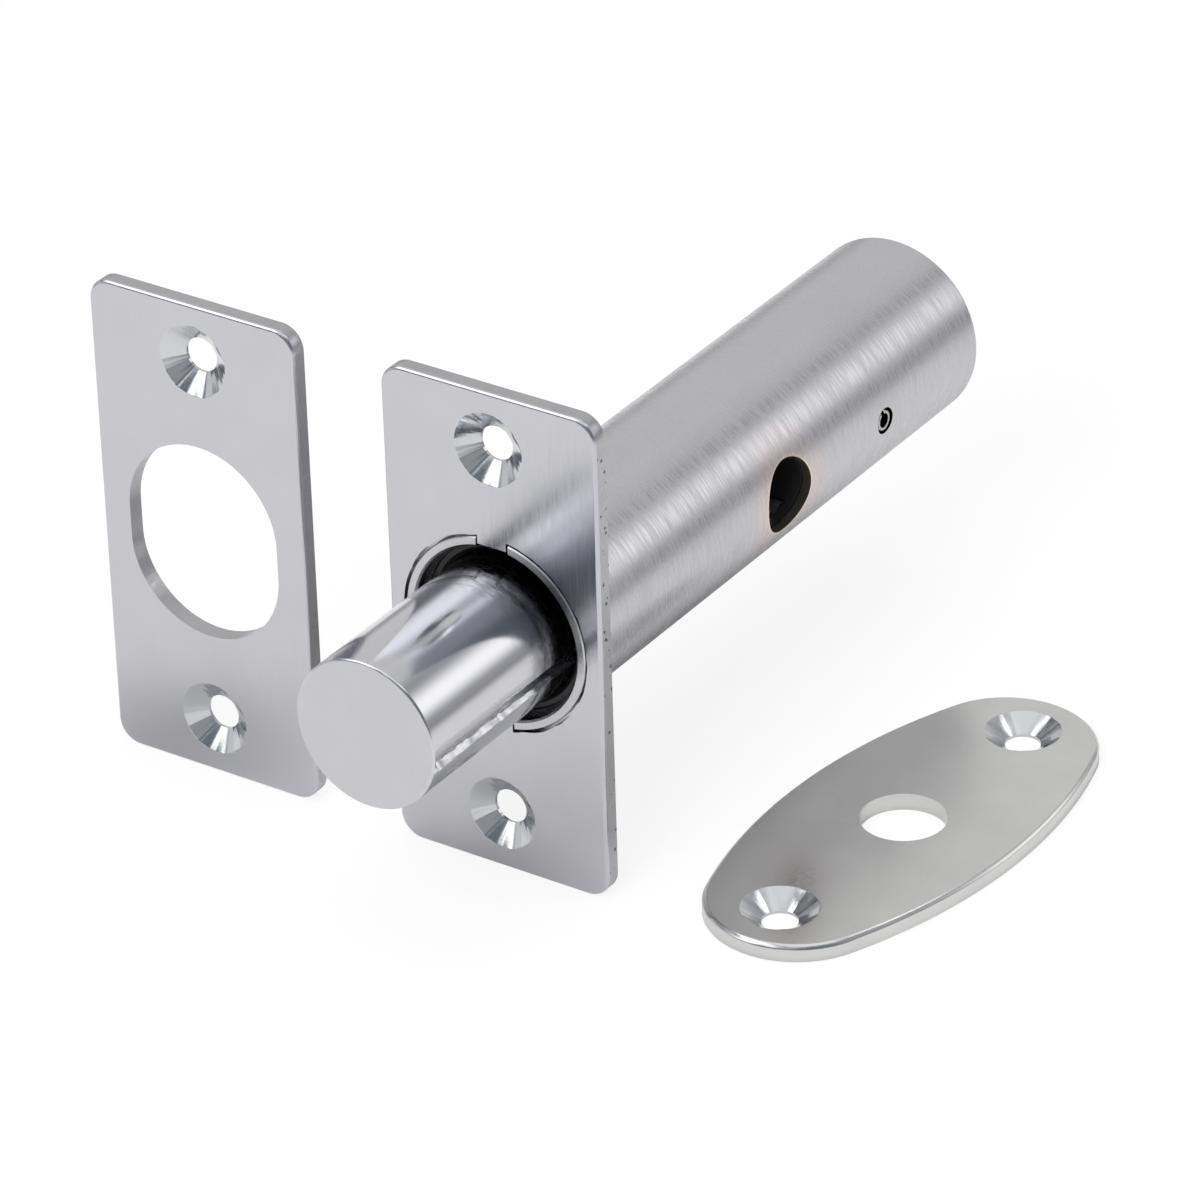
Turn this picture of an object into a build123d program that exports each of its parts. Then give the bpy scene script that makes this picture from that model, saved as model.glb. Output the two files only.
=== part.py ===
# Rack bolt: a round bolt in a tubular barrel, with its faceplate, its keep and its key escutcheon
# Frame: +Z up, the bolt is thrown along -Y, and the key enters from +X
# Origin: on the bolt's axis, at the back of the faceplate. At rest the bolt is fully thrown
# The pieces are drawn from the front of the faceplate and are moved to the origin at the end

import os
from math import atan2, cos, degrees, radians, sin
from build123d import *

# Strip that the faceplate and the keep are cut from
plate_width = 20.0
plate_height = 43.0
plate_thickness = 1.5
plate_corner = 2.0
plate_edge_round = 0.22
plate_back_break = 0.1

# Countersunk screw holes, alike in all three plates
screw_pitch = 33.0
screw_hole = 3.0
countersink_width = 6.3
countersink_depth = 1.25

# Barrel, a steel tube with its front end staked into the faceplate
barrel_width = 16.2
barrel_wall = 0.8
barrel_length = 60.0
barrel_rear_chamfer = 0.35
flare_width = 16.9
flare_depth = 1.0
flare_edge = 0.1
neck_wall = 0.5
mouth_width = 15.3
mouth_edge = 0.14
mouth_lead = 1.3
stake_gap = 0.2
stake_fit = 0.03
seat_chamfer = 0.28

# Tongues of the faceplate that lock the barrel's flared rim from turning
tongue_width = 2.7
tongue_tip_width = 15.6
tongue_side_gap = 0.16
tongue_seat_gap = 0.02

# Bolt
bolt_width = 12.9
bolt_throw = 17.75
nose_round = 0.3
bolt_solid_in_barrel = 8.6
tail_length = 27.4
tail_end_chamfer = 0.4
running_fit = 0.05

# Rack cut across the top of the bolt's tail
rack_tip_below_axis = 2.15
rack_pitch = 1.6
rack_depth = 1.1
rack_tip_flat = 0.36
rack_root_flat = 0.5
rack_front_land = 1.4
rack_rear_land = 1.6

# Groove along the bolt's side and the tooth of the liner that runs in it
groove_width = 1.15
groove_depth = 0.7
groove_turn = 6.0
groove_nose_land = 0.4
groove_rear_land = 1.3
tooth_side_gap = 0.1
tooth_tip_gap = 0.1
tooth_length = 5.0
tooth_stop_gap = 0.1

# Key passage
key_hole = 6.4
key_hole_centre = 30.5
liner_key_hole = 6.0
liner_far_wall = 1.3

# Liner, a black moulding that guides the bolt and the key
liner_fit = 0.05
liner_front = 1.6
liner_lead = 0.35
liner_behind_pin = 3.3
key_block_stop_gap = 0.05
tail_roof_gap = 0.15

# Slotted spring pin that holds the liner in the barrel
pin_centre = 45.2
pin_width = 1.9
pin_wall = 0.28
pin_slot = 0.4
pin_slot_turn = 105.0
pin_end_chamfer = 0.12
pin_recess = 0.22
pin_fit = 0.02
pin_barrel_hole = 2.3

# Leaf spring under the tail that keeps the bolt where the key leaves it
leaf_thickness = 0.2
leaf_width = 3.0
leaf_length = 13.8
leaf_bow = 0.4
leaf_centre = 34.4
leaf_pocket_gap = 0.15

# Cap that closes the barrel's rear end
cap_length = 3.0
cap_recess = 0.3
cap_wall = 1.2
cap_floor = 1.2
cap_chamfer = 0.4

# Keep, with its opening for the bolt
keep_opening_width = 14.6
keep_opening_height = 17.4
keep_centre_x = -28.3

# Key escutcheon, lying flat with its face up
escutcheon_length = 43.4
escutcheon_width = 20.2
escutcheon_thickness = 1.5
escutcheon_end_radius = 7.6
escutcheon_edge_round = 0.4
escutcheon_key_hole = 7.15
escutcheon_x = 24.7
escutcheon_y = 20.7
escutcheon_turn = -4.7

# Sizes that follow
bolt_radius = bolt_width / 2
bolt_bore_radius = bolt_radius + running_fit
barrel_radius = barrel_width / 2
barrel_bore_radius = barrel_radius - barrel_wall
liner_radius = barrel_bore_radius - liner_fit
flare_radius = flare_width / 2
mouth_radius = mouth_width / 2
mouth_slope = (mouth_radius - barrel_bore_radius) / mouth_lead
neck_radius = mouth_radius - mouth_slope * flare_depth + neck_wall
bolt_solid_rear = bolt_solid_in_barrel
tail_rear = bolt_solid_rear + tail_length
key_block_front = bolt_solid_rear + bolt_throw + key_block_stop_gap
tail_roof = -rack_tip_below_axis + tail_roof_gap
groove_front = -bolt_throw + groove_nose_land
groove_rear = bolt_solid_rear - groove_rear_land
tooth_rear = groove_rear - tooth_stop_gap
tooth_front = tooth_rear - tooth_length
liner_rear = pin_centre + liner_behind_pin
seat_front = plate_thickness - seat_chamfer
floor_level = -plate_height / 2
overrun = 1.0


def along_y(profile, front, back):
    """Solid from a profile drawn in X and Z, between two places along Y."""
    return extrude(Plane.XZ.offset(-back) * profile, amount=back - front)


def turned(points):
    """Solid turned about the Y axis from points of radius and place along Y."""
    outline = Polyline(*points, close=True)
    return revolve(make_face(outline), axis=Axis.Y)


def bar_along_x(radius, start, end):
    """Round bar along X, at the height of the bolt's axis."""
    return extrude(Plane.YZ.offset(start) * Circle(radius), amount=end - start)


def screw_hole_cutter(thickness):
    """Countersunk hole that opens at y = 0 and runs through a plate."""
    points = [
        (0, -overrun),
        (countersink_width / 2, -overrun),
        (countersink_width / 2, 0),
        (screw_hole / 2, countersink_depth),
        (screw_hole / 2, thickness + overrun),
        (0, thickness + overrun),
    ]
    return turned(points)


def soften_plate(plate, front_round):
    """Round the front outline of a plate and break its back one."""
    front = plate.faces().sort_by(Axis.Y)[0]
    plate = fillet(front.outer_wire().edges(), front_round)
    back = plate.faces().sort_by(Axis.Y)[-1]
    return chamfer(back.outer_wire().edges(), plate_back_break)


def plate_blank():
    """Rectangular plate with round corners and two screw holes."""
    outline = RectangleRounded(plate_width, plate_height, plate_corner)
    plate = soften_plate(along_y(outline, 0, plate_thickness), plate_edge_round)
    for side in (-1, 1):
        plate -= Pos(0, 0, side * screw_pitch / 2) * screw_hole_cutter(plate_thickness)
    return plate


# Faceplate
def make_faceplate():
    recess_radius = flare_radius + stake_gap
    tip_radius = tongue_tip_width / 2
    tongue_depth = flare_depth - tongue_seat_gap
    plate = plate_blank()
    plate -= along_y(Circle(recess_radius), -overrun, flare_depth)
    hole_radius = neck_radius + stake_fit
    plate -= along_y(Circle(hole_radius), -overrun, plate_thickness + overrun)
    plate -= turned([
        (0, seat_front - hole_radius),
        (hole_radius + seat_chamfer + overrun, plate_thickness + overrun),
        (0, plate_thickness + overrun),
    ])
    ring = Circle(recess_radius + stake_gap) - Circle(tip_radius)
    both_tongues = ring & Rectangle(tongue_width, 2 * flare_width)
    plate += along_y(both_tongues, 0, tongue_depth)
    return plate


# Barrel
def make_barrel():
    points = [
        (mouth_radius + mouth_edge, 0),
        (flare_radius - flare_edge, 0),
        (flare_radius, flare_edge),
        (flare_radius, flare_depth),
        (neck_radius, flare_depth),
        (neck_radius, seat_front),
        (barrel_radius, seat_front + barrel_radius - neck_radius),
        (barrel_radius, barrel_length - barrel_rear_chamfer),
        (barrel_radius - barrel_rear_chamfer, barrel_length),
        (barrel_bore_radius, barrel_length),
        (barrel_bore_radius, mouth_lead),
        (mouth_radius - mouth_slope * mouth_edge, mouth_edge),
    ]
    barrel = turned(points)
    notch = Rectangle(tongue_width + 2 * tongue_side_gap, 2 * flare_width)
    barrel -= along_y(notch, -overrun, flare_depth)
    key_cut = bar_along_x(key_hole / 2, 0, barrel_radius + overrun)
    barrel -= Pos(0, key_hole_centre, 0) * key_cut
    reach = barrel_radius + overrun
    pin_cut = bar_along_x(pin_barrel_hole / 2, -reach, reach)
    barrel -= Pos(0, pin_centre, 0) * pin_cut
    return barrel


# Bolt
def side_slot(width, floor_radius, front, rear):
    """Round-ended slot in the key side of the bolt, turned a little down."""
    length = rear - front
    outline = Pos((front + rear) / 2, 0) * SlotOverall(length, width)
    slot = extrude(Plane.YZ.offset(floor_radius) * outline, amount=bolt_width)
    return Rot(0, groove_turn, 0) * slot


def rack_gap_cutter():
    """One gap between two rack teeth, across the tail."""
    tip = (rack_pitch - rack_tip_flat) / 2
    root = rack_root_flat / 2
    top = -rack_tip_below_axis
    outline = Polyline(
        (-tip, top + overrun),
        (-tip, top),
        (-root, top - rack_depth),
        (root, top - rack_depth),
        (tip, top),
        (tip, top + overrun),
        close=True,
    )
    face = Plane.YZ.offset(-bolt_radius - overrun) * make_face(outline)
    return extrude(face, amount=bolt_width + 2 * overrun)


def make_bolt():
    nose = along_y(Circle(bolt_radius), -bolt_throw, bolt_solid_rear)
    nose = fillet(nose.edges().sort_by(Axis.Y)[0], nose_round)
    below = Pos(0, -rack_tip_below_axis - bolt_width / 2) * Rectangle(2 * bolt_width, bolt_width)
    section = Circle(bolt_radius) & below
    tail = along_y(section, bolt_solid_rear - overrun, tail_rear)
    tail_end = tail.faces().sort_by(Axis.Y)[-1]
    tail = chamfer(tail_end.edges(), tail_end_chamfer)
    bolt = nose + tail
    first = bolt_solid_rear + rack_front_land + rack_pitch / 2
    last = tail_rear - rack_rear_land
    gaps = round((last - first) / rack_pitch)
    for number in range(gaps):
        bolt -= Pos(0, first + number * rack_pitch, 0) * rack_gap_cutter()
    bolt -= side_slot(groove_width, bolt_radius - groove_depth, groove_front, groove_rear)
    return bolt


# Liner
def make_liner():
    points = [
        (bolt_bore_radius + liner_lead, liner_front),
        (liner_radius, liner_front),
        (liner_radius, liner_rear),
        (0, liner_rear),
        (0, key_block_front),
        (bolt_bore_radius, key_block_front),
        (bolt_bore_radius, liner_front + liner_lead),
    ]
    liner = turned(points)
    tooth_tip = bolt_radius - groove_depth + tooth_tip_gap
    tooth_width = groove_width - 2 * tooth_side_gap
    tooth = side_slot(tooth_width, tooth_tip, tooth_front, tooth_rear)
    tooth &= along_y(Circle(liner_radius - liner_fit), tooth_front, tooth_rear)
    liner += tooth
    below = Pos(0, tail_roof - bolt_width / 2) * Rectangle(2 * bolt_width, bolt_width)
    channel = Circle(bolt_bore_radius) & below
    liner -= along_y(channel, key_block_front - overrun, liner_rear + overrun)
    key_cut = bar_along_x(liner_key_hole / 2, -liner_radius + liner_far_wall, barrel_radius)
    liner -= Pos(0, key_hole_centre, 0) * key_cut
    pin_cut = bar_along_x(pin_width / 2 + pin_fit, -barrel_radius, barrel_radius)
    liner -= Pos(0, pin_centre, 0) * pin_cut
    pocket_width = leaf_width + 2 * leaf_pocket_gap
    pocket_length = leaf_length + 2 * leaf_pocket_gap
    pocket = Box(pocket_width, pocket_length, barrel_radius, align=(Align.CENTER, Align.CENTER, Align.MAX))
    liner -= Pos(0, leaf_centre, -bolt_bore_radius + leaf_bow) * pocket
    return liner


# Spring pin
def make_spring_pin():
    half = (barrel_radius**2 - (pin_width / 2) ** 2) ** 0.5 - pin_recess
    pin = bar_along_x(pin_width / 2, -half, half)
    ends = pin.edges().filter_by(GeomType.CIRCLE)
    pin = chamfer(ends, pin_end_chamfer)
    bore_radius = pin_width / 2 - pin_wall
    pin -= bar_along_x(bore_radius, -half - overrun, half + overrun)
    slot = Pos(0, 0, pin_width / 2) * Box(2 * half + overrun, pin_slot, pin_width)
    pin -= Rot(pin_slot_turn - 90, 0, 0) * slot
    return Pos(0, pin_centre, 0) * pin


# Leaf spring
def make_leaf_spring():
    crown = -bolt_bore_radius
    half = leaf_length / 2
    top = ThreePointArc(
        (leaf_centre - half, crown - leaf_bow),
        (leaf_centre, crown),
        (leaf_centre + half, crown - leaf_bow),
    )
    bottom = ThreePointArc(
        (leaf_centre - half, crown - leaf_bow - leaf_thickness),
        (leaf_centre, crown - leaf_thickness),
        (leaf_centre + half, crown - leaf_bow - leaf_thickness),
    )
    ends = [Line(top @ 0, bottom @ 0), Line(top @ 1, bottom @ 1)]
    face = Plane.YZ.offset(-leaf_width / 2) * make_face([top, bottom, *ends])
    return extrude(face, amount=leaf_width)


# Rear cap
def make_rear_cap():
    rear = barrel_length - cap_recess
    front = rear - cap_length
    points = [
        (liner_radius - cap_wall, front),
        (liner_radius, front),
        (liner_radius, rear - cap_chamfer),
        (liner_radius - cap_chamfer, rear),
        (0, rear),
        (0, rear - cap_floor),
        (liner_radius - cap_wall, rear - cap_floor),
    ]
    return turned(points)


# Keep
def make_keep():
    opening = Rot(0, 0, 90) * SlotOverall(keep_opening_height, keep_opening_width)
    keep = plate_blank() - along_y(opening, -overrun, plate_thickness + overrun)
    return Pos(keep_centre_x, 0, 0) * keep


# Escutcheon
def oval_outline(length, width, end_radius):
    """Oval of two end arcs and two flat side arcs that meet smoothly, long way up."""
    end_centre = length / 2 - end_radius
    half_width = width / 2
    side_radius = (end_centre**2 + half_width**2 - end_radius**2) / (2 * (half_width - end_radius))
    side_centre = side_radius - half_width
    meet = atan2(side_centre, end_centre)
    x = side_radius * sin(meet) - side_centre
    z = side_radius * cos(meet)
    arcs = [
        ThreePointArc((x, z), (0, length / 2), (-x, z)),
        ThreePointArc((-x, z), (-half_width, 0), (-x, -z)),
        ThreePointArc((-x, -z), (0, -length / 2), (x, -z)),
        ThreePointArc((x, -z), (half_width, 0), (x, z)),
    ]
    return make_face(arcs)


def make_escutcheon():
    outline = oval_outline(escutcheon_length, escutcheon_width, escutcheon_end_radius)
    plate = soften_plate(along_y(outline, 0, escutcheon_thickness), escutcheon_edge_round)
    for side in (-1, 1):
        cutter = screw_hole_cutter(escutcheon_thickness)
        plate -= Pos(0, 0, side * screw_pitch / 2) * cutter
    opening = Circle(escutcheon_key_hole / 2)
    plate -= along_y(opening, -overrun, escutcheon_thickness + overrun)
    face_up = Rot(-90, 0, 0) * plate
    top = floor_level + escutcheon_thickness
    return Pos(escutcheon_x, escutcheon_y, top) * Rot(0, 0, escutcheon_turn) * face_up


# Write one file for each piece
pieces = {
    "faceplate": make_faceplate,
    "barrel": make_barrel,
    "bolt": make_bolt,
    "guide_liner": make_liner,
    "spring_pin": make_spring_pin,
    "leaf_spring": make_leaf_spring,
    "rear_cap": make_rear_cap,
    "keep_plate": make_keep,
    "key_escutcheon": make_escutcheon,
}

to_origin = Pos(0, -plate_thickness, 0)
os.makedirs("parts", exist_ok=True)
for name, make in pieces.items():
    export_step(to_origin * make(), f"parts/{name}.step")
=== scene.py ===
from math import atan2, cos, pi, radians, sin

import bmesh
import bpy
from mathutils import Matrix, Vector, noise


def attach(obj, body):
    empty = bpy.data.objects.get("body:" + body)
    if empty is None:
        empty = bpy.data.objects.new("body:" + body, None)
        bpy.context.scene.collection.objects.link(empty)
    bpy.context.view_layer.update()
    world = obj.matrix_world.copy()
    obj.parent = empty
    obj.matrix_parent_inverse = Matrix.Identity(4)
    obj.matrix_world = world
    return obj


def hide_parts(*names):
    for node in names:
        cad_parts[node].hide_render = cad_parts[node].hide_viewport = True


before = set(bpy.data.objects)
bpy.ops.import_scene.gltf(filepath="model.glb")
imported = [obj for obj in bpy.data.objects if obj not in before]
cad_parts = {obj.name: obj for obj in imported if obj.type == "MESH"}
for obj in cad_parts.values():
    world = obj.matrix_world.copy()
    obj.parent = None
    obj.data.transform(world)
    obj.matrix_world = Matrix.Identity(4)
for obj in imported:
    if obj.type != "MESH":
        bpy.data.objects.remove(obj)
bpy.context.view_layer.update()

# Sizes in millimetres. Pieces are drawn in millimetres and brought to metres when they are done.
# The bolt lies along the Y axis with its nose towards -Y, Z is up and the key enters from +X.
# The widths of round pieces and holes are radii
MM = 0.001
OVER = 1.0  # how far a cutter reaches past what it cuts

# Faceplate and keep
FRONT = -1.5
BACK = 0.0
PLATE_WIDTH = 20.0
PLATE_HEIGHT = 43.0
CORNER = 2.0
EDGE_ROUND = 0.3
EDGE_BREAK = 0.1
KEEP_X = -28.3
OPENING_HEIGHT = 17.4
OPENING_WIDTH = 14.6
OPENING_CUT = 4.0

# Countersunk screw holes. The cutter flares a little at the face, so that it leaves a clean edge
SCREW_PITCH = 33.0
SCREW_HOLE = 1.5
CONE = 3.15
CONE_FLARE = 3.21
CONE_FRONT = FRONT + 0.03
CONE_BACK = FRONT + 1.25

# Barrel, with the rim that is flared and staked into the faceplate
BARREL = 8.1
BORE = 7.3
BARREL_END = 58.5
END_ROUND = 0.35
RIM = 8.45
RIM_BACK = FRONT + 1.0
NECK = 7.881
NECK_BACK = FRONT + 1.22
SHOULDER = FRONT + 1.44
MOUTH = 7.788
FLARE = 7.612
FLARE_FRONT = FRONT + 0.14
FLARE_BACK = FRONT + 1.3
NOTCH_HALF = 1.51
NOTCH_REACH = (6.0, 10.0)
KEY_HOLE = 3.2
KEY_PLACE = 29.0
KEY_CUT = 12.0
PIN_HOLE = 1.15
PIN_PLACE = 43.7
PIN_CUT = 12.0

# The faceplate's side of the staking: a ragged recess, two tongues that are left standing in it,
# and the seat for the barrel
RECESS = 8.68
TONGUE_HALF = 1.35
TONGUE_REACH = (7.8, 10.0)
SEAT_FRONT = 7.8
SEAT_STEP = FRONT + 0.98
SEAT = 7.911
SEAT_CHAMFER = 0.28

# Bolt, with its rack and its groove
BOLT = 6.45
NOSE = -19.25
NOSE_ROUND = 0.22
TAIL = 34.5
TAIL_ROUND = 0.4
BOLT_CUT = 8.0
RACK_START = 7.1
RACK_TOP = -2.15
RACK_END = 40.0
GAP_HALF = 0.62
GAP_TOP = -1.5
GAP_FLOOR = -3.25
GAP_NARROWING = 0.4
GAPS = 15
FIRST_GAP = 9.3
RACK_PITCH = 1.6
GROOVE_FRONT = -18.85
GROOVE_BACK = 5.8
GROOVE_WIDTH = 1.15
GROOVE_FLOOR = 5.75
GROOVE_CUT = 4.0
GROOVE_TURN = 6  # degrees round the bolt

# Square bar of uneven size that breaks the groove's lower edge
BAR = 0.90
BAR_TAPER = 0.003
BAR_UNEVEN = 0.20
BAR_FRONT = -18.98
BAR_STEP = 0.4
BAR_RINGS = 60
BAR_X = 6.774
BAR_Z = -0.475

# Spring pin
PIN = 0.95
PIN_BORE = 0.63
PIN_END = 7.97
PIN_EDGE = 0.1
SLIT_HALF = 0.2
SLIT_HEIGHTS = (0.3, 1.3)
SLIT_CUT = 9.0
SLIT_TURN = 15  # degrees round the pin

# Rear cap, as radii and as depths from the barrel's end
CAP = 7.25
CAP_SIDE_END = 0.7
CAP_EDGE = 7.13
CAP_EDGE_DEPTH = 0.42
CAP_FACE = 6.85
CAP_FACE_DEPTH = 0.3
DISH_TOP = 5.2
DISH = 4.9
DISH_DEPTH = 0.55
GATE_TOP = 0.9
GATE = 0.8
GATE_DEPTH = 0.75
CENTRE = 0.01
CAP_HOLLOW = 6.05
CAP_HOLLOW_DEPTH = 1.5
CAP_DEPTH = 3.3

# Escutcheon: small arcs at its ends and wide arcs at its sides, with their centres and turns
FLOOR = -21.5
OVAL_START = (7.137, 16.71)
OVAL_END = 14.1
OVAL_SIDE = 38.51
OVAL_END_TURN = 139.78
OVAL_SIDE_TURN = 40.22
OVAL_THICK = 1.5
OVAL_ROUND = 0.38
OVAL_PROFILE = 0.34
OVAL_PLACE = (24.7, 20.7 - OVAL_THICK, FLOOR)
OVAL_TURN = -4.7
MIDDLE_HOLE = 3.575


# Working by hand: select, edit, cut and finish

def only(piece):
    """Leave this piece alone selected and active."""
    bpy.ops.object.select_all(action="DESELECT")
    piece.select_set(True)
    bpy.context.view_layer.objects.active = piece


def edit(piece, kind="VERT"):
    """Open a piece for editing, with all of it selected."""
    only(piece)
    bpy.ops.object.mode_set(mode="EDIT")
    bpy.ops.mesh.select_mode(type=kind)
    bpy.ops.mesh.select_all(action="SELECT")


def done():
    bpy.ops.object.mode_set(mode="OBJECT")


def choose(piece, kind, test):
    """Select the vertices, edges or faces that pass a test, while the piece is open."""
    bpy.ops.mesh.select_mode(type=kind)
    bpy.ops.mesh.select_all(action="DESELECT")
    mesh = bmesh.from_edit_mesh(piece.data)
    for part in {"VERT": mesh.verts, "EDGE": mesh.edges, "FACE": mesh.faces}[kind]:
        if test(part):
            part.select_set(True)
    bmesh.update_edit_mesh(piece.data)


def near(value, target, slack=0.004):
    return abs(value - target) < slack


def out_from_axis(vertex):
    return (vertex.co.x**2 + vertex.co.z**2) ** 0.5


def turned(name, outline, sides, tube=False):
    """Lathe work about the Y axis: a ring is drawn out and resized from point to point.
    Each point of the outline is a radius and a place along Y."""
    radius, at = outline[0]
    bpy.ops.mesh.primitive_circle_add(
        vertices=sides,
        radius=radius,
        fill_type="NOTHING" if tube else "NGON",
        location=(0, at, 0),
        rotation=(pi / 2, 0, 0),
    )
    piece = bpy.context.object
    piece.name = name
    only(piece)
    bpy.ops.object.transform_apply(location=True, rotation=True, scale=True)
    edit(piece)
    steps = outline[1:] + outline[:1] if tube else outline[1:]
    for radius_next, at_next in steps:
        bpy.ops.mesh.extrude_region_move(TRANSFORM_OT_translate={"value": (0, at_next - at, 0)})
        grow = radius_next / radius
        bpy.ops.transform.resize(value=(grow, 1, grow), center_override=(0, 0, 0))
        radius, at = radius_next, at_next
    bpy.ops.mesh.select_all(action="SELECT")
    bpy.ops.mesh.remove_doubles(threshold=0.0005)
    bpy.ops.mesh.normals_make_consistent(inside=False)
    done()
    return piece


def round_rings(piece, rings):
    """Round the turned edges with the given radius and place by the given width."""
    for radius, at, width in rings:
        edit(piece)
        choose(piece, "EDGE", lambda edge: all(
            near(out_from_axis(v), radius) and near(v.co.y, at) for v in edge.verts))
        bpy.ops.mesh.bevel(offset=width, segments=4, affect="EDGES")
        done()


def roughen(piece, places, share, waves):
    """Push the rings at these places in and out by a share of their radius, with noise of several
    wavelengths. Each wave is its height, how fine it runs round the ring and its seed."""
    for vertex in piece.data.vertices:
        if any(near(vertex.co.y, at) for at in places):
            around = atan2(vertex.co.z, vertex.co.x)
            push = sum(
                height * noise.noise(Vector((fine * cos(around), fine * sin(around), seed)))
                for height, fine, seed in waves
            )
            vertex.co.x *= 1 + share * push
            vertex.co.z *= 1 + share * push


def block(name, low, high):
    """Rectangular block between two corners."""
    middle = [(a + b) / 2 for a, b in zip(low, high)]
    size = [b - a for a, b in zip(low, high)]
    bpy.ops.mesh.primitive_cube_add(size=1, location=middle, scale=size)
    piece = bpy.context.object
    piece.name = name
    only(piece)
    bpy.ops.object.transform_apply(location=True, rotation=True, scale=True)
    return piece


def drawn(name, start, path, steps=48):
    """Flat outline in X and Z. One point is spun round each arc's centre, or drawn out straight
    to the next point."""
    bpy.ops.mesh.primitive_plane_add(size=1)
    piece = bpy.context.object
    piece.name = name
    edit(piece)
    bpy.ops.mesh.merge(type="CENTER")
    bpy.ops.transform.translate(value=(start[0], 0, start[1]))
    here = Vector((start[0], 0, start[1]))
    for kind, point, turn in path:
        there = Vector((point[0], 0, point[1]))
        if kind == "arc":
            bpy.ops.mesh.spin(
                steps=steps, angle=turn, center=there, axis=(0, 1, 0), use_auto_merge=False)
            here = there + Matrix.Rotation(-turn, 3, "Y") @ (here - there)
        else:
            bpy.ops.mesh.extrude_region_move(TRANSFORM_OT_translate={"value": there - here})
            here = there
    bpy.ops.mesh.select_all(action="SELECT")
    bpy.ops.mesh.remove_doubles(threshold=0.002)
    bpy.ops.mesh.edge_face_add()
    done()
    return piece


def slot_shape(name, middle, length, width):
    """Round-ended slot along X."""
    half = width / 2
    left = middle - length / 2 + half
    right = middle + length / 2 - half
    return drawn(name, (right, -half), [
        ("arc", (right, 0), pi),
        ("line", (left, half), 0),
        ("arc", (left, 0), pi),
    ])


def thicken(piece, depth):
    """Draw a flat outline out along Y into a solid."""
    edit(piece, "FACE")
    bpy.ops.mesh.extrude_region_move(TRANSFORM_OT_translate={"value": (0, depth, 0)})
    bpy.ops.mesh.select_all(action="SELECT")
    bpy.ops.mesh.normals_make_consistent(inside=False)
    done()


def place(piece, move=(0, 0, 0), turn=(0, 0, 0)):
    """Turn and move a piece, with its place kept in its mesh."""
    only(piece)
    piece.rotation_euler = turn
    piece.location = move
    bpy.ops.object.transform_apply(location=True, rotation=True, scale=True)


def copy_of(piece, move):
    only(piece)
    bpy.ops.object.duplicate()
    twin = bpy.context.object
    place(twin, move)
    return twin


def cut(piece, *cutters):
    """Cut with other solids. The cut faces take the finish that the cutter leaves."""
    for cutter in cutters:
        only(piece)
        step = piece.modifiers.new("cut", "BOOLEAN")
        step.operation = "DIFFERENCE"
        step.object = cutter
        step.solver = "EXACT"
        step.material_mode = "TRANSFER"
        bpy.ops.object.modifier_apply(modifier=step.name)
        bpy.data.objects.remove(cutter)


def wear(piece, *materials):
    for material in materials:
        piece.data.materials.append(material)
    return piece


def wear_second(piece, test):
    """Give the faces that pass a test the piece's second finish, while the piece is open."""
    choose(piece, "FACE", test)
    piece.active_material_index = 1
    bpy.ops.object.material_slot_assign()


def bevel_rim(piece, at, **bevel):
    """Bevel the edges round a flat face at this place along Y, while the piece is open."""
    choose(piece, "EDGE", lambda edge: all(near(v.co.y, at) for v in edge.verts))
    bpy.ops.mesh.bevel(affect="EDGES", **bevel)


def finish(piece, body, nodes):
    """Clean up what the cuts left, bring a piece to metres, give it even shading and hand it to
    its body."""
    edit(piece)
    bpy.ops.mesh.dissolve_degenerate(threshold=0.0008)
    done()
    only(piece)
    piece.scale = (MM, MM, MM)
    bpy.ops.object.transform_apply(location=True, rotation=True, scale=True)
    bpy.ops.object.shade_smooth_by_angle(angle=radians(32))
    even = piece.modifiers.new("even shading", "WEIGHTED_NORMAL")
    even.keep_sharp = True
    even.weight = 60
    bpy.ops.object.modifier_apply(modifier=even.name)
    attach(piece, body)
    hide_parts(*nodes)


# Finishes

# Node settings that come up again and again
SMOOTH = {"interpolation_type": "SMOOTHSTEP"}
COLOURS = {"data_type": "RGBA"}
PLUS = {"operation": "ADD"}
MINUS = {"operation": "SUBTRACT"}
TIMES = {"operation": "MULTIPLY"}
LARGER = {"operation": "MAXIMUM"}
ABOVE = {"operation": "GREATER_THAN"}
ABSOLUTE = {"operation": "ABSOLUTE"}
LENGTH = {"operation": "LENGTH"}
DOT = {"operation": "DOT_PRODUCT"}

# The part of its range that noise keeps to
NOISE_LOW = 0.3
NOISE_HIGH = 0.7


def colour(code):
    """Linear colour from an sRGB hex value."""
    parts = [int(code[i : i + 2], 16) / 255 for i in (1, 3, 5)]
    linear = [p / 12.92 if p <= 0.04045 else ((p + 0.055) / 1.055) ** 2.4 for p in parts]
    return (*linear, 1.0)


def per_mm(size):
    """Pattern scale that makes one step of it this many millimetres."""
    return 1000.0 / size


def add(tree, kind, settings=None, inputs=None):
    """Add a node with its settings, and with a value or a link for each named input."""
    node = tree.nodes.new("ShaderNode" + kind)
    for name, value in (settings or {}).items():
        setattr(node, name, value)
    for name, value in (inputs or {}).items():
        if isinstance(value, bpy.types.NodeSocket):
            tree.links.new(value, node.inputs[name])
        else:
            node.inputs[name].default_value = value
    return node


def begin(name):
    """Start a material and give its tree and its shader with it."""
    material = bpy.data.materials.new(name)
    material.use_nodes = True
    tree = material.node_tree
    return material, tree, tree.nodes["Principled BSDF"]


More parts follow.
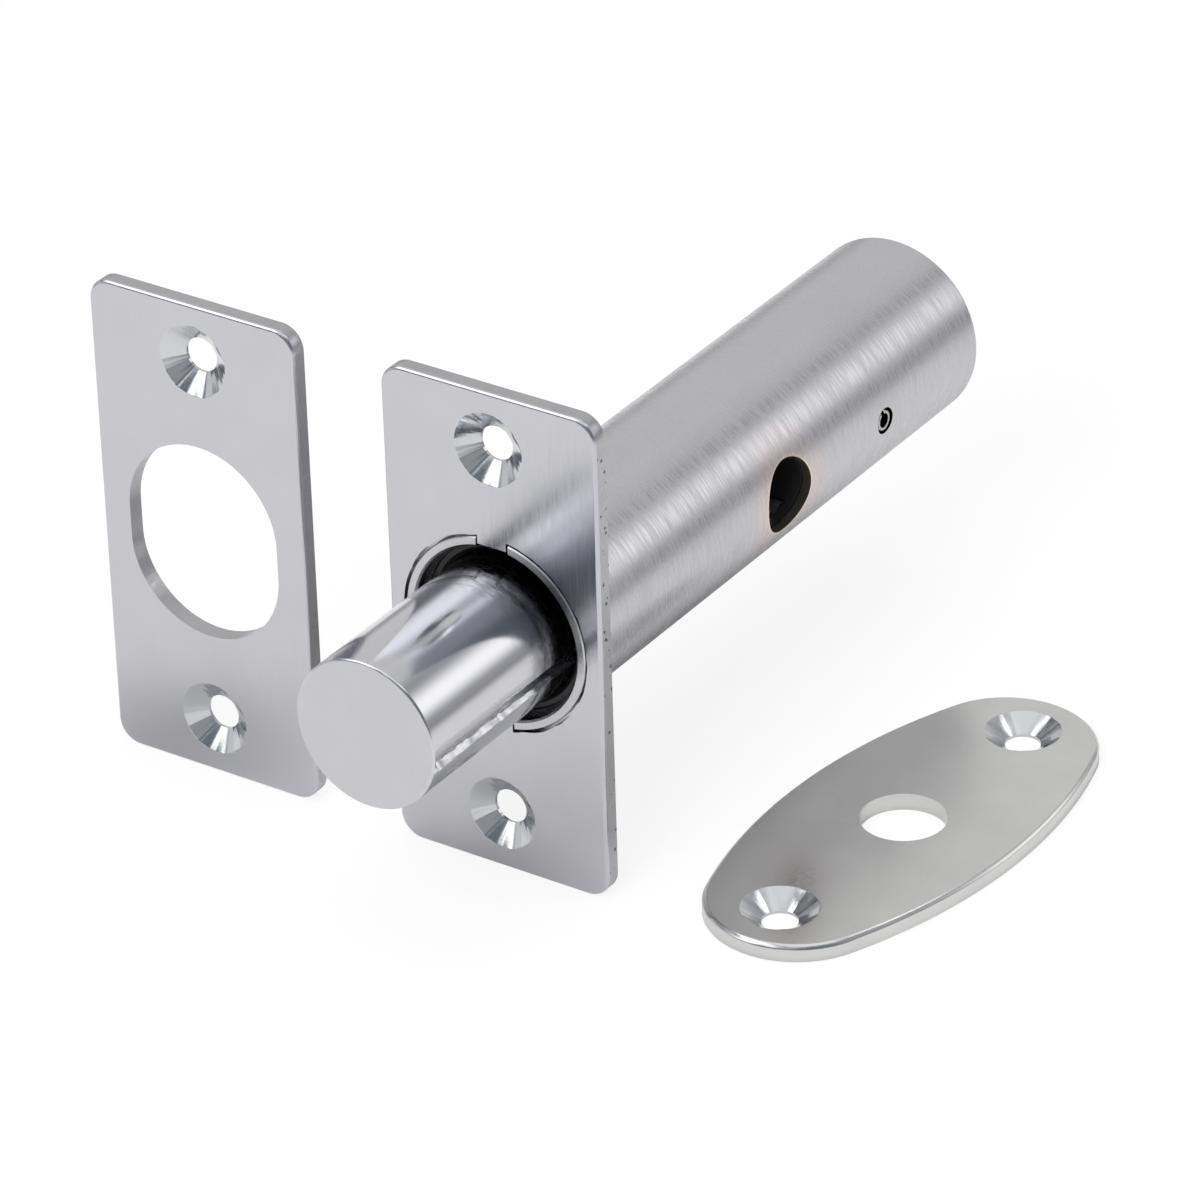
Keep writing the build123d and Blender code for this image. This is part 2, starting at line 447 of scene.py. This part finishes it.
def worked(name, code, shade, roughness, spread, cell, depth):
    """Metal with fine tool marks and cloudy differences in tone.
    The cell is one mark's size along X, Y and Z, and the depth is that of the marks."""
    material, tree, shader = begin(name)
    shader.inputs["Base Color"].default_value = colour(code)
    shader.inputs["Metallic"].default_value = 1.0
    shader.inputs["Roughness"].default_value = roughness
    where = add(tree, "TexCoord").outputs["Object"]
    stretch = add(tree, "Mapping", inputs={
        "Vector": where, "Scale": [per_mm(side) for side in cell]})
    marks = add(tree, "TexNoise", inputs={
        "Vector": stretch.outputs[0], "Scale": 1.0, "Detail": 2.0, "Roughness": 0.5})
    cloud = add(tree, "TexNoise", inputs={
        "Vector": where, "Scale": per_mm(5.0), "Detail": 4.0, "Roughness": 0.55})
    tone = add(tree, "Mix", COLOURS, {
        "A": colour(code), "B": colour(shade), "Factor": cloud.outputs["Fac"]})
    tree.links.new(tone.outputs["Result"], shader.inputs["Base Color"])
    rough = add(tree, "MapRange", inputs={
        "Value": marks.outputs["Fac"], "From Min": NOISE_LOW, "From Max": NOISE_HIGH,
        "To Min": roughness - spread, "To Max": roughness + spread})
    tree.links.new(rough.outputs["Result"], shader.inputs["Roughness"])
    relief = add(tree, "Bump", inputs={
        "Height": marks.outputs["Fac"], "Strength": 1.0, "Distance": depth * MM})
    tree.links.new(relief.outputs["Normal"], shader.inputs["Normal"])
    return material, tree, shader, where, tone.outputs["Result"]


# Faces of the plates: fine upright lines that blur what stands before them into soft bands
plate_face = worked(
    "satin_chrome_brushed_upright", "#C8C8CD", "#C0C0C5",
    roughness=0.215, spread=0.04, cell=(0.16, 0.16, 4.0), depth=0.0012)[0]

# Barrel: short strokes round the tube, which comb the edges of its long highlight
tube_face, tree, shader, where, tone = worked(
    "satin_chrome_brushed_round", "#C8C8CB", "#BEBEC1",
    roughness=0.29, spread=0.10, cell=(2.6, 0.19, 2.6), depth=0.0042)
# Round the drilled key hole the plating is thin: a faint warm tint, and a pale beige line at the
# edge, which is partly the warm metal under the plating and partly a painted highlight of the
# drilled edge. Each is how far from the hole's middle it starts and ends, its strength and its
# colour
from_hole = add(tree, "VectorMath", MINUS, {0: where, 1: (0, KEY_PLACE * MM, 0)})
from_hole = add(tree, "VectorMath", TIMES, {0: from_hole.outputs[0], 1: (0, 1, 1)})
from_hole = add(tree, "VectorMath", LENGTH, {0: from_hole.outputs[0]}).outputs["Value"]
apart = add(tree, "SeparateXYZ", inputs={0: where})
key_side = add(tree, "Math", ABOVE, {0: apart.outputs["X"], 1: 0.0})
for near_edge, far_edge, strength, tint in (
    (3.3, 6.8, 0.42, "#D8C4BE"),
    (3.25, 3.5, 0.85, "#E6DACB"),
):
    ring = add(tree, "MapRange", SMOOTH, {
        "Value": from_hole, "From Min": near_edge * MM, "From Max": far_edge * MM,
        "To Min": strength, "To Max": 0.0})
    ring = add(tree, "Math", TIMES, {0: ring.outputs["Result"], 1: key_side.outputs[0]})
    tone = add(tree, "Mix", COLOURS, {
        "A": tone, "B": colour(tint), "Factor": ring.outputs[0]}).outputs["Result"]
tree.links.new(tone, shader.inputs["Base Color"])

# Bolt: turned and polished, so it mirrors in clear bands
bolt_face, tree, shader, where, tone = worked(
    "bright_chrome_turned", "#D0D0D4", "#C9C9CE",
    roughness=0.12, spread=0.03, cell=(8.0, 0.2, 8.0), depth=0.0006)
# Where the mouth rubs it, it is dull with marks round it
along = add(tree, "SeparateXYZ", inputs={0: where})
rub_marks = add(tree, "Mapping", inputs={
    "Vector": where, "Scale": (per_mm(1.1), per_mm(0.35), per_mm(1.1))})
rub_marks = add(tree, "TexNoise", inputs={
    "Vector": rub_marks.outputs[0], "Scale": 1.0, "Detail": 4.0, "Roughness": 0.65})
patchy = add(tree, "MapRange", inputs={
    "Value": rub_marks.outputs["Fac"], "From Min": 0.42, "From Max": 0.62})
from_mouth = add(tree, "Math", PLUS, {0: along.outputs["Y"], 1: 1.0 * MM})
from_mouth = add(tree, "Math", ABSOLUTE, {0: from_mouth.outputs[0]})
rubbed = add(tree, "MapRange", SMOOTH, {
    "Value": from_mouth.outputs[0], "From Min": 1.2 * MM, "From Max": 6.8 * MM,
    "To Min": 1.0, "To Max": 0.0})
rubbed = add(tree, "Math", TIMES, {
    0: rubbed.outputs["Result"], 1: patchy.outputs["Result"]}).outputs[0]
tone = add(tree, "Mix", COLOURS, {
    "A": tone, "B": colour("#8E9094"), "Factor": rubbed}).outputs["Result"]
dull = add(tree, "MapRange", inputs={"Value": rubbed, "To Min": 0.12, "To Max": 0.34})
tree.links.new(dull.outputs["Result"], shader.inputs["Roughness"])
# Painted shade: right at the mouth the bolt is darkened, where the barrel's mouth shades it
from_plate = add(tree, "Math", ABSOLUTE, {0: along.outputs["Y"]})
painted_mouth_shade = add(tree, "MapRange", SMOOTH, {
    "Value": from_plate.outputs[0], "From Min": 0.0, "From Max": 6.5 * MM,
    "To Min": 0.96, "To Max": 0.0})
tone = add(tree, "Mix", COLOURS, {
    "A": tone, "B": colour("#2E2F32"), "Factor": painted_mouth_shade.outputs["Result"]}).outputs["Result"]
tree.links.new(tone, shader.inputs["Base Color"])

# Rack: hobbed and left matt, so its teeth still glint grey in the dark of the key hole
rack_face = worked(
    "chrome_on_hobbed_rack", "#CDCDD1", "#B4B4B9",
    roughness=0.5, spread=0.1, cell=(0.25, 0.25, 0.25), depth=0.006)[0]

# Groove: milled and left rougher than the bolt, with its colour painted paler as painted light, so
# its broken edge catches light
groove_face = worked(
    "chrome_in_milled_groove", "#D8D8DC", "#BEBEC3",
    roughness=0.26, spread=0.10, cell=(0.3, 0.9, 0.3), depth=0.013)[0]

# Escutcheon: barrel-polished, so its grey face is even, with a sandy grain that shows no direction
oval_face = worked(
    "satin_chrome_tumbled", "#D9D9D6", "#CACACA",
    roughness=0.22, spread=0.04, cell=(0.3, 0.3, 0.3), depth=0.0011)[0]

# Nose of the bolt: faced off and matt, a calm light grey beside the mirror of its sides
end_face = worked(
    "chrome_faced_end", "#CBCBCF", "#C4C4C7",
    roughness=0.36, spread=0.04, cell=(0.35, 0.35, 0.35), depth=0.002)[0]

# Countersinks: bright chrome over chatter from the cutter, which breaks the light into wedges
# and streaks
sunk_face = worked(
    "chrome_on_turned_countersink", "#D2D2D4", "#BDC1C4",
    roughness=0.13, spread=0.05, cell=(0.22, 0.22, 0.22), depth=0.003)[0]

# Sheared edges of the plates: duller than the faces
edge_face, tree, shader, where, tone = worked(
    "satin_chrome_on_sheared_edge", "#BDBDC0", "#A9A9AD",
    roughness=0.33, spread=0.06, cell=(0.3, 1.2, 0.3), depth=0.006)
# On the faceplate's key side they have a row of dark pits, about one to each millimetre
pits = add(tree, "TexVoronoi", inputs={"Vector": where, "Scale": per_mm(0.9)})
pits = add(tree, "MapRange", inputs={
    "Value": pits.outputs["Distance"], "From Min": 0.12, "From Max": 0.2,
    "To Min": 1.0, "To Max": 0.0})
apart = add(tree, "SeparateXYZ", inputs={0: where})
key_side = add(tree, "Math", ABOVE, {
    0: apart.outputs["X"], 1: (PLATE_WIDTH / 2 - EDGE_ROUND) * MM})
pits = add(tree, "Math", TIMES, {0: pits.outputs["Result"], 1: key_side.outputs[0]})
tone = add(tree, "Mix", COLOURS, {
    "A": tone, "B": colour("#4A4A4F"), "Factor": pits.outputs[0]}).outputs["Result"]
tree.links.new(tone, shader.inputs["Base Color"])

# Gap round the staked rim, the barrel's notches, the pin hole and the pin's bore and slit: steel
# painted near-black as painted shade, so the ragged line round the collar is drawn in black
painted_gap_shade = worked(
    "steel_painted_dark_as_shade", "#242426", "#131315",
    roughness=0.5, spread=0.1, cell=(0.4, 0.4, 0.4), depth=0.01)[0]

# Wall of the drilled key hole: brass-toned thin plating over steel, a warm dark grey in the shade
hole_edge = worked(
    "drilled_wall_with_thin_plating", "#8C857C", "#6A645D",
    roughness=0.55, spread=0.08, cell=(0.9, 0.12, 0.12), depth=0.005)[0]

# Spring pin and leaf spring: rolled spring steel, pale with a slight warmth
spring_face = worked(
    "spring_steel_rolled", "#C9C5BC", "#A9A59D",
    roughness=0.27, spread=0.07, cell=(1.5, 0.15, 0.15), depth=0.003)[0]

# Liner and rear cap: black moulding with a faint grain, which only shows where light grazes it
black_moulding, tree, shader = begin("acetal_black_moulded")
shader.inputs["Specular IOR Level"].default_value = 0.45
where = add(tree, "TexCoord").outputs["Object"]
grain = add(tree, "TexNoise", inputs={
    "Vector": where, "Scale": per_mm(0.25), "Detail": 3.0, "Roughness": 0.6})
flow = add(tree, "TexNoise", inputs={
    "Vector": where, "Scale": per_mm(3.0), "Detail": 2.0, "Roughness": 0.5})
tone = add(tree, "Mix", COLOURS, {
    "A": colour("#1A1A1B"), "B": colour("#2B2B2C"), "Factor": flow.outputs["Fac"]})
tree.links.new(tone.outputs["Result"], shader.inputs["Base Color"])
rough = add(tree, "MapRange", inputs={
    "Value": grain.outputs["Fac"], "From Min": NOISE_LOW, "From Max": NOISE_HIGH,
    "To Min": 0.34, "To Max": 0.5})
tree.links.new(rough.outputs["Result"], shader.inputs["Roughness"])
relief = add(tree, "Bump", inputs={
    "Height": grain.outputs["Fac"], "Strength": 1.0, "Distance": 0.006 * MM})
tree.links.new(relief.outputs["Normal"], shader.inputs["Normal"])


# Screw holes and the blank that the plates share

def screw_holes(centre):
    """Cutters for the upper and the lower countersunk hole.
    The tool chattered, so the cone has low ridges that run down to the hole."""
    upper = turned("countersink", [
        (CONE_FLARE, FRONT - OVER),
        (CONE_FLARE, FRONT),
        (CONE, CONE_FRONT),
        (SCREW_HOLE, CONE_BACK),
        (SCREW_HOLE, BACK + OVER),
    ], sides=128)
    roughen(upper, (CONE_FRONT, CONE_BACK), share=0.011, waves=((1.0, 14, 1.5), (1.5, 4, 4.5)))
    wear(upper, sunk_face)
    place(upper, (centre, 0, SCREW_PITCH / 2))
    lower = copy_of(upper, (0, 0, -SCREW_PITCH))
    return upper, lower


def blank_plate(name, centre):
    """Plate with round corners, its front edge rounded and its back edge broken."""
    plate = block(
        name,
        (centre - PLATE_WIDTH / 2, FRONT, -PLATE_HEIGHT / 2),
        (centre + PLATE_WIDTH / 2, BACK, PLATE_HEIGHT / 2),
    )
    wear(plate, plate_face, edge_face)
    edit(plate)
    choose(plate, "EDGE", lambda edge: abs(edge.verts[0].co.y - edge.verts[1].co.y) > 1)
    bpy.ops.mesh.bevel(offset=CORNER, segments=14, affect="EDGES")
    wear_second(plate, lambda face: abs(face.normal.y) < 0.5)
    bevel_rim(plate, FRONT, offset=EDGE_ROUND, segments=5, material=0)
    bevel_rim(plate, BACK, offset=EDGE_BREAK, segments=2)
    done()
    cut(plate, *screw_holes(centre))
    return plate


# Keep, with its round-ended opening for the bolt
keep = blank_plate("keep_plate_satin", KEEP_X)
opening = slot_shape("opening", 0, OPENING_HEIGHT, OPENING_WIDTH)
wear(opening, edge_face)
thicken(opening, OPENING_CUT)
place(opening, (KEEP_X, FRONT - OVER, 0), turn=(0, pi / 2, 0))
cut(keep, opening)
finish(keep, "case_and_plates", ["keep_plate"])

# Faceplate, with the ragged recess that the barrel's rim is staked into
faceplate = blank_plate("faceplate_satin", 0)
recess = turned("recess", [(RECESS, FRONT - OVER), (RECESS, RIM_BACK)], sides=180)
roughen(recess, (FRONT - OVER, RIM_BACK), share=0.012, waves=((1.0, 4, 0.5), (0.8, 19, 2.5)))
inner, outer = TONGUE_REACH
for low, high in ((-outer, -inner), (inner, outer)):
    cut(recess, block(
        "tongue", (-TONGUE_HALF, FRONT - 2 * OVER, low), (TONGUE_HALF, FRONT + 2 * OVER, high)))
# Painted shade: the recess walls take the near-black gap finish
wear(recess, painted_gap_shade)
seat = turned("seat", [
    (SEAT_FRONT, FRONT - OVER),
    (SEAT_FRONT, SEAT_STEP),
    (SEAT, SEAT_STEP),
    (SEAT, BACK - SEAT_CHAMFER),
    (SEAT + SEAT_CHAMFER + OVER, BACK + OVER),
], sides=144)
wear(seat, edge_face)
cut(faceplate, recess, seat)
finish(faceplate, "case_and_plates", ["faceplate"])

# Barrel: outside from the rim to the end, and back inside from the end to the flared mouth
barrel = turned("barrel_satin", [
    (MOUTH, FRONT),
    (RIM - EDGE_BREAK, FRONT),
    (RIM, FRONT + EDGE_BREAK),
    (RIM, RIM_BACK),
    (NECK, RIM_BACK),
    (NECK, NECK_BACK),
    (BARREL, SHOULDER),
    (BARREL, BARREL_END),
    (BORE, BARREL_END),
    (BORE, FLARE_BACK),
    (FLARE, FLARE_FRONT),
], sides=160, tube=True)
round_rings(barrel, [(BARREL, BARREL_END, END_ROUND)])
wear(barrel, tube_face)
inner, outer = NOTCH_REACH
for low, high in ((-outer, -inner), (inner, outer)):
    notch = block("notch", (-NOTCH_HALF, FRONT - OVER, low), (NOTCH_HALF, RIM_BACK, high))
    # Painted shade on the notch walls
    cut(barrel, wear(notch, painted_gap_shade))
key_hole = turned("key_hole", [(KEY_HOLE, 0), (KEY_HOLE, KEY_CUT)], sides=96)
place(key_hole, (0, KEY_PLACE, 0), turn=(0, 0, -pi / 2))
pin_hole = turned("pin_hole", [(PIN_HOLE, -PIN_CUT), (PIN_HOLE, PIN_CUT)], sides=64)
place(pin_hole, (0, PIN_PLACE, 0), turn=(0, 0, -pi / 2))
# Painted shade on the pin hole's wall
cut(barrel, wear(key_hole, hole_edge), wear(pin_hole, painted_gap_shade))
finish(barrel, "case_and_plates", ["barrel"])

# Bolt, with the rack cut into its tail
bolt = turned("bolt_bright", [(BOLT, NOSE), (BOLT, TAIL)], sides=192)
round_rings(bolt, [(BOLT, NOSE, NOSE_ROUND), (BOLT, TAIL, TAIL_ROUND)])
wear(bolt, bolt_face, end_face)
edit(bolt)
wear_second(bolt, lambda face: face.normal.y < -0.9)
done()
top_cut = block("top_cut", (-BOLT_CUT, RACK_START, RACK_TOP), (BOLT_CUT, RACK_END, BOLT_CUT))
cut(bolt, wear(top_cut, rack_face))
tooth_gap = block("tooth_gap", (-BOLT_CUT, -GAP_HALF, GAP_FLOOR), (BOLT_CUT, GAP_HALF, GAP_TOP))
edit(tooth_gap)
choose(tooth_gap, "VERT", lambda vertex: near(vertex.co.z, GAP_FLOOR))
bpy.ops.transform.resize(value=(1, GAP_NARROWING, 1), center_override=(0, 0, GAP_FLOOR))
done()
wear(tooth_gap, rack_face)
for number in range(GAPS):
    cut(bolt, copy_of(tooth_gap, (0, FIRST_GAP + number * RACK_PITCH, 0)))
bpy.data.objects.remove(tooth_gap)
# The groove along its side, whose lower edge broke out under the cutter: the uneven bar leaves it
# with a ragged slope to the light
groove = slot_shape(
    "groove", (GROOVE_FRONT + GROOVE_BACK) / 2, GROOVE_BACK - GROOVE_FRONT, GROOVE_WIDTH)
wear(groove, groove_face)
thicken(groove, GROOVE_CUT)
place(groove, (GROOVE_FLOOR + GROOVE_CUT, 0, 0), turn=(0, 0, pi / 2))
rings = []
for ring in range(BAR_RINGS):
    uneven = noise.noise(Vector((0.9 * ring, 0.5, 2.5)))
    rings.append((BAR - BAR_TAPER * ring + BAR_UNEVEN * uneven, BAR_FRONT + BAR_STEP * ring))
broken_edge = turned("broken_edge", rings, sides=4)
place(broken_edge, (BAR_X, 0, BAR_Z))
for cutter in (groove, wear(broken_edge, groove_face)):
    place(cutter, turn=(0, radians(GROOVE_TURN), 0))
    cut(bolt, cutter)
finish(bolt, "bolt_body", ["bolt"])

# Spring pin: a rolled tube with its slot left open, in the hole at the barrel's rear
pin = turned("spring_pin_rolled", [
    (PIN_BORE, -PIN_END),
    (PIN - PIN_EDGE, -PIN_END),
    (PIN, -PIN_END + PIN_EDGE),
    (PIN, PIN_END - PIN_EDGE),
    (PIN - PIN_EDGE, PIN_END),
    (PIN_BORE, PIN_END),
], sides=64, tube=True)
# Painted shade: the pin's bore takes the near-black gap finish
wear(pin, spring_face, painted_gap_shade)
edit(pin)
wear_second(pin, lambda face: all(near(out_from_axis(v), PIN_BORE) for v in face.verts))
done()
place(pin, turn=(0, 0, -pi / 2))
slit_floor, slit_top = SLIT_HEIGHTS
slit = block("slit", (-SLIT_CUT, -SLIT_HALF, slit_floor), (SLIT_CUT, SLIT_HALF, slit_top))
place(slit, turn=(radians(SLIT_TURN), 0, 0))
# Painted shade in the pin's slit
cut(pin, wear(slit, painted_gap_shade))
place(pin, (0, PIN_PLACE, 0))
finish(pin, "case_and_plates", ["spring_pin"])

# Rear cap: a moulded plug, its edge rounded, with a shallow dish and the mark of its gate
cap = turned("rear_cap_moulded", [
    (CAP_HOLLOW, BARREL_END - CAP_DEPTH),
    (CAP, BARREL_END - CAP_DEPTH),
    (CAP, BARREL_END - CAP_SIDE_END),
    (CAP_EDGE, BARREL_END - CAP_EDGE_DEPTH),
    (CAP_FACE, BARREL_END - CAP_FACE_DEPTH),
    (DISH_TOP, BARREL_END - CAP_FACE_DEPTH),
    (DISH, BARREL_END - DISH_DEPTH),
    (GATE_TOP, BARREL_END - DISH_DEPTH),
    (GATE, BARREL_END - GATE_DEPTH),
    (CENTRE, BARREL_END - GATE_DEPTH),
    (CENTRE, BARREL_END - CAP_HOLLOW_DEPTH),
    (CAP_HOLLOW, BARREL_END - CAP_HOLLOW_DEPTH),
], sides=128, tube=True)
wear(cap, black_moulding)
finish(cap, "case_and_plates", ["rear_cap"])

# Guide liner and leaf spring keep the solids' own shapes
for name, material in (("guide_liner", black_moulding), ("leaf_spring", spring_face)):
    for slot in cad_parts[name].material_slots:
        slot.material = material

# Escutcheon: drawn upright like the plates, then laid on the floor
oval = drawn("key_escutcheon_satin", OVAL_START, [
    ("arc", (0, OVAL_END), radians(OVAL_END_TURN)),
    ("arc", (OVAL_SIDE, 0), radians(OVAL_SIDE_TURN)),
    ("arc", (0, -OVAL_END), radians(OVAL_END_TURN)),
    ("arc", (-OVAL_SIDE, 0), radians(OVAL_SIDE_TURN)),
], steps=60)
thicken(oval, OVAL_THICK)
place(oval, (0, FRONT, 0))
wear(oval, oval_face, edge_face)
edit(oval)
bevel_rim(oval, FRONT, offset=OVAL_ROUND, segments=6, profile=OVAL_PROFILE)
bevel_rim(oval, BACK, offset=EDGE_BREAK, segments=2)
done()
upper, lower = screw_holes(0)
middle = turned("middle_hole", [(MIDDLE_HOLE, FRONT - OVER), (MIDDLE_HOLE, BACK + OVER)], sides=96)
cut(oval, upper, lower, wear(middle, oval_face))
place(oval, turn=(-pi / 2, 0, 0))
place(oval, OVAL_PLACE, turn=(0, 0, radians(OVAL_TURN)))
finish(oval, "case_and_plates", ["key_escutcheon"])

# Floor of matt white paper
bpy.ops.mesh.primitive_plane_add(size=5, location=(0, 0, (FLOOR - 0.02) * MM))
floor = bpy.context.object
floor.name = "floor"
paper, tree, shader = begin("paper_white_matt")
shader.inputs["Roughness"].default_value = 0.9
shader.inputs["Specular IOR Level"].default_value = 0.0
where = add(tree, "TexCoord").outputs["Object"]
# Painted light: it greys with the distance from the object, like a pool of light round it, as the
# metal mirrors it
out = add(tree, "VectorMath", {"operation": "DISTANCE"}, {0: where, 1: (-0.05, 0.03, 0)})
white = add(tree, "MapRange", SMOOTH, {
    "Value": out.outputs["Value"], "From Min": 0.12, "From Max": 0.34,
    "To Min": 0.9, "To Max": 0.5}).outputs["Result"]
# Painted shadow: it also greys under the barrel and at the keep's foot. Each patch is its middle
# and its reach along X and Y in millimetres, and what is left of the white in its middle
for middle, reach, left in (((-1, 26), (18, 34), 0.5), ((-34, -6), (15, 11), 0.68)):
    under = add(tree, "VectorMath", MINUS, {0: where, 1: (middle[0] * MM, middle[1] * MM, 0)})
    under = add(tree, "VectorMath", TIMES, {
        0: under.outputs[0], 1: (per_mm(reach[0]), per_mm(reach[1]), 0)})
    under = add(tree, "VectorMath", LENGTH, {0: under.outputs[0]})
    under = add(tree, "MapRange", SMOOTH, {
        "Value": under.outputs["Value"], "From Min": 0.1, "From Max": 1.1,
        "To Min": left, "To Max": 1.0})
    white = add(tree, "Math", TIMES, {0: white, 1: under.outputs["Result"]}).outputs[0]
# The camera sees it whiter, so only the closest shadow shows
seen = add(tree, "LightPath").outputs["Is Camera Ray"]
seen_white = add(tree, "Math", TIMES, {0: seen, 1: 0.9})
white = add(tree, "Math", LARGER, {0: white, 1: seen_white.outputs[0]})
tree.links.new(white.outputs[0], shader.inputs["Base Color"])
share = add(tree, "Math", TIMES, {0: seen, 1: 0.80})
glow = add(tree, "Emission", inputs={"Color": (1, 1, 1, 1), "Strength": 1.03})
both = add(tree, "MixShader", inputs={
    0: share.outputs[0], 1: shader.outputs[0], 2: glow.outputs[0]})
tree.links.new(both.outputs[0], tree.nodes["Material Output"].inputs["Surface"])
wear(floor, paper)

# Light tent, which only the metal's reflections see: grey cloth, darker towards the front
bpy.ops.mesh.primitive_uv_sphere_add(segments=48, ring_count=24, radius=2.2)
tent = bpy.context.object
tent.name = "light_tent"
cloth, tree, shader = begin("tent_cloth_grey")
tree.nodes.remove(shader)
where = add(tree, "TexCoord").outputs["Object"]
where = add(tree, "VectorMath", {"operation": "NORMALIZE"}, {0: where}).outputs[0]
apart = add(tree, "SeparateXYZ", inputs={0: where})
fore = add(tree, "MapRange", SMOOTH, {
    "Value": apart.outputs["Y"], "From Min": -0.35, "From Max": 0.25})
paint = add(tree, "Mix", COLOURS, {
    "A": (0.20, 0.225, 0.25, 1), "B": (0.44, 0.44, 0.47, 1),
    "Factor": fore.outputs["Result"]}).outputs["Result"]
# Soft panels on it. Each is its azimuth from +Y towards +X, its elevation, half its width, half its
# height and the softness of its edge in degrees, and its light in red, green and blue
for azimuth, elevation, half_wide, half_high, soft, light in (
    (-28, 31, 34, 25, 6, (0.79, 0.79, 0.78)),
    (40, 21, 14, 10, 8, (1.5, 1.5, 1.5)),
    (178, 43, 20, 9, 7, (0.56, 0.60, 0.64)),
    (166, 9, 15, 12, 5, (0.42, 0.43, 0.45)),
    (-110, 7, 20, 12, 6, (0.85, 0.85, 0.87)),
    (-176, 45, 4, 9, 2.5, (2.1, 2.1, 2.15)),
    (-140, 31, 15, 8, 4, (2.2, 2.2, 2.15)),
    (-128, 50, 22, 14, 5, (2.6, 2.6, 2.6)),
    (-45, 82, 24, 24, 8, (1.1, 1.1, 1.1)),
    (45, 54, 7, 7, 3, (2.2, 2.2, 2.2)),
    (120, 68, 22, 10, 4, (1.15, 1.15, 1.17)),
):
    a, e = radians(azimuth), radians(elevation)
    ahead = (sin(a) * cos(e), cos(a) * cos(e), sin(e))
    aside = (cos(a), -sin(a), 0)
    above = (-sin(a) * sin(e), -cos(a) * sin(e), cos(e))
    facing = add(tree, "VectorMath", DOT, {0: where, 1: ahead})
    inside = add(tree, "Math", ABOVE, {0: facing.outputs["Value"], 1: 0.0})
    for axis, half in ((aside, half_wide), (above, half_high)):
        away = add(tree, "VectorMath", DOT, {0: where, 1: axis})
        away = add(tree, "Math", ABSOLUTE, {0: away.outputs["Value"]})
        fade = add(tree, "MapRange", SMOOTH, {
            "Value": away.outputs[0], "To Min": 1.0, "To Max": 0.0,
            "From Min": sin(radians(half - soft)), "From Max": sin(radians(half + soft))})
        inside = add(tree, "Math", TIMES, {0: inside.outputs[0], 1: fade.outputs["Result"]})
    paint = add(tree, "Mix", COLOURS, {
        "A": paint, "B": (*light, 1), "Factor": inside.outputs[0]}).outputs["Result"]
glow = add(tree, "Emission", inputs={"Color": paint, "Strength": 1.0})
tree.links.new(glow.outputs[0], tree.nodes["Material Output"].inputs["Surface"])
wear(tent, cloth)
tent.visible_camera = False
tent.visible_diffuse = False
tent.visible_transmission = False
tent.visible_volume_scatter = False
tent.visible_shadow = False

# White room, which lights the object less than it shows
world = bpy.data.worlds.new("studio")
bpy.context.scene.world = world
world.use_nodes = True
tree = world.node_tree
path = add(tree, "LightPath")
shows = add(tree, "Math", LARGER, {
    0: path.outputs["Is Camera Ray"], 1: path.outputs["Is Glossy Ray"]})
shows = add(tree, "Math", LARGER, {0: shows.outputs[0], 1: path.outputs["Is Transmission Ray"]})
level = add(tree, "MapRange", inputs={"Value": shows.outputs[0], "To Min": 0.54, "To Max": 1.0})
tree.links.new(level.outputs["Result"], tree.nodes["Background"].inputs["Strength"])
tree.nodes["Background"].inputs["Color"].default_value = (1, 1, 1, 1)

# Soft lamps overhead and before the object. Each is its place and width in metres and its power
for name, stands, width, power in (
    ("overhead_lamp", (0.0, 0.05, 1.2), 1.2, 5.0),
    ("front_lamp", (0.05, -0.76, 0.62), 0.5, 5.5),
):
    lamp = bpy.data.objects.new(name, bpy.data.lights.new(name, "AREA"))
    bpy.context.scene.collection.objects.link(lamp)
    lamp.location = stands
    lamp.rotation_euler = Vector(stands).to_track_quat("Z", "Y").to_euler()
    lamp.data.size = width
    lamp.data.energy = power
    lamp.visible_glossy = False

# Camera, as it was solved from the photo: its side, how far it looks down and its roll in degrees
CAMERA_SIDE = 34.424
CAMERA_DOWN = 30.139
CAMERA_ROLL = -1.779
camera = bpy.data.objects.new("camera", bpy.data.cameras.new("camera"))
bpy.context.scene.collection.objects.link(camera)
camera.location = (0.279385, -0.394478, 0.282698)
camera.rotation_euler = (
    Matrix.Rotation(radians(CAMERA_SIDE), 3, "Z")
    @ Matrix.Rotation(radians(90 - CAMERA_DOWN), 3, "X")
    @ Matrix.Rotation(radians(CAMERA_ROLL), 3, "Z")
).to_euler()
camera.data.lens = 214.05
camera.data.sensor_width = 36
camera.data.clip_start = 0.01
bpy.context.scene.camera = camera
bpy.context.scene.view_settings.view_transform = "Standard"
